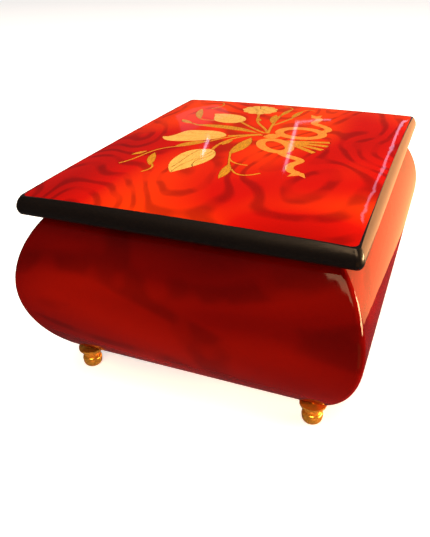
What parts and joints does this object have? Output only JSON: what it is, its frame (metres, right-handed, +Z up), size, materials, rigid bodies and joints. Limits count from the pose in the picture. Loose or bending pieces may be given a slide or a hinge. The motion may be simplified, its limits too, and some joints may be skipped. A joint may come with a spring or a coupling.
{
  "type": "cylinder music box",
  "caption": "Inlaid bombe jewellery box with a hinged crowned lid, turned feet and a wound cylinder movement that plays when the lid is raised.",
  "frame": {"origin": "on the table under the middle of the case", "axes": "+Z up, the front with the upright bouquet faces -Y, the hinges are at +Y, +X to the right"},
  "size_m": [0.153, 0.124, 0.0773],
  "materials": {
    "red_burl": "dyed burl veneer under gloss lacquer",
    "brass": "polished",
    "velvet": "short pile velvet",
    "black_lacquer": "black gloss lacquer",
    "pale_veneer": "gloss lacquer",
    "olive_veneer": "gloss lacquer",
    "tan_veneer": "gloss lacquer",
    "dark_wood": "satin",
    "clear_acrylic": "clear",
    "gold_zinc": "gold lacquered zinc casting",
    "steel": "ground",
    "lead": "dull",
    "white_plastic": "moulded"
  },
  "bodies": {
    "case": {"front_panel": "red_burl", "back_panel": "red_burl", "left_panel": "red_burl", "right_panel": "red_burl", "base_board": "red_burl", "foot_front_left": "brass", "foot_front_right": "brass", "foot_back_left": "brass", "foot_back_right": "brass", "hinge_case_leaf_left": "brass", "hinge_case_leaf_right": "brass", "hinge_pin_left": "brass", "hinge_pin_right": "brass", "case_hinge_screws": "brass", "bay_partition": "dark_wood", "compartment_divider": "dark_wood", "front_velvet": "velvet", "back_velvet": "velvet", "front_floor_pad": "velvet", "back_floor_pad": "velvet", "ring_rolls": "velvet", "cover_ledges": "dark_wood", "movement_cover": "clear_acrylic", "bedplate": "gold_zinc", "movement_screws": "steel", "front_bridge": "brass", "rear_bridge": "brass", "comb_block": "gold_zinc", "comb": "steel", "comb_screws": "steel", "comb_leads": "lead", "click": "steel", "governor_bracket": "brass", "stop_bracket": "steel"},
    "lid": {"lid_board": "black_lacquer", "lid_veneer": "red_burl", "inlay_ribbon": "tan_veneer", "inlay_blossoms": "pale_veneer", "inlay_leaves": "olive_veneer", "inlay_stems": "olive_veneer", "lid_lining": "velvet", "hinge_lid_leaf_left": "brass", "hinge_lid_leaf_right": "brass", "lid_hinge_screws": "brass"},
    "cylinder": {"cylinder": "brass", "cylinder_shaft": "steel", "cylinder_pinion": "brass", "train_gear": "brass"},
    "barrel": {"spring_barrel": "brass", "barrel_cap": "brass", "mainspring": "steel"},
    "winder": {"winding_arbor": "steel", "ratchet_wheel": "steel", "winding_key": "brass"},
    "governor": {"governor_wheel": "brass"},
    "fan": {"fan_shaft": "steel", "fan": "white_plastic"},
    "plunger": {"stop_plunger": "steel", "plunger_spring": "steel"}
  },
  "joints": [
    {"name": "lid_hinge", "type": "hinge", "parent": "case", "child": "lid", "pos_m": [0, 0.0535, 0.06918], "axis": [-1, 0, 0], "range_deg": [0, 95]},
    {"name": "cylinder_spin", "type": "hinge", "parent": "case", "child": "cylinder", "pos_m": [0.0415, 0, 0.02396], "axis": [0, 1, 0], "continuous": true},
    {"name": "barrel_spin", "type": "hinge", "parent": "case", "child": "barrel", "pos_m": [0.0415, -0.024, 0.02], "axis": [0, 0, 1], "continuous": true},
    {"name": "winding_turn", "type": "hinge", "parent": "case", "child": "winder", "pos_m": [0.0415, -0.024, 0.006], "axis": [0, 0, 1], "continuous": true},
    {"name": "governor_spin", "type": "hinge", "parent": "case", "child": "governor", "pos_m": [0.03389, 0, 0.02643], "axis": [0, 1, 0], "continuous": true},
    {"name": "fan_spin", "type": "hinge", "parent": "case", "child": "fan", "pos_m": [0.02749, 0.0175, 0.03], "axis": [0, 0, 1], "continuous": true},
    {"name": "plunger_slide", "type": "slide", "parent": "case", "child": "plunger", "axis": [0, 0, 1], "range_m": [0, 0.0026], "deforming": ["plunger_spring"]}
  ],
  "couplings": [
    {"joint": "barrel_spin", "follows": "cylinder_spin", "ratio": 0.35714},
    {"joint": "governor_spin", "follows": "cylinder_spin", "ratio": -4},
    {"joint": "fan_spin", "follows": "cylinder_spin", "ratio": 96},
    {"joint": "plunger_slide", "follows": "lid_hinge", "m_per_rad": 0.0015}
  ]
}
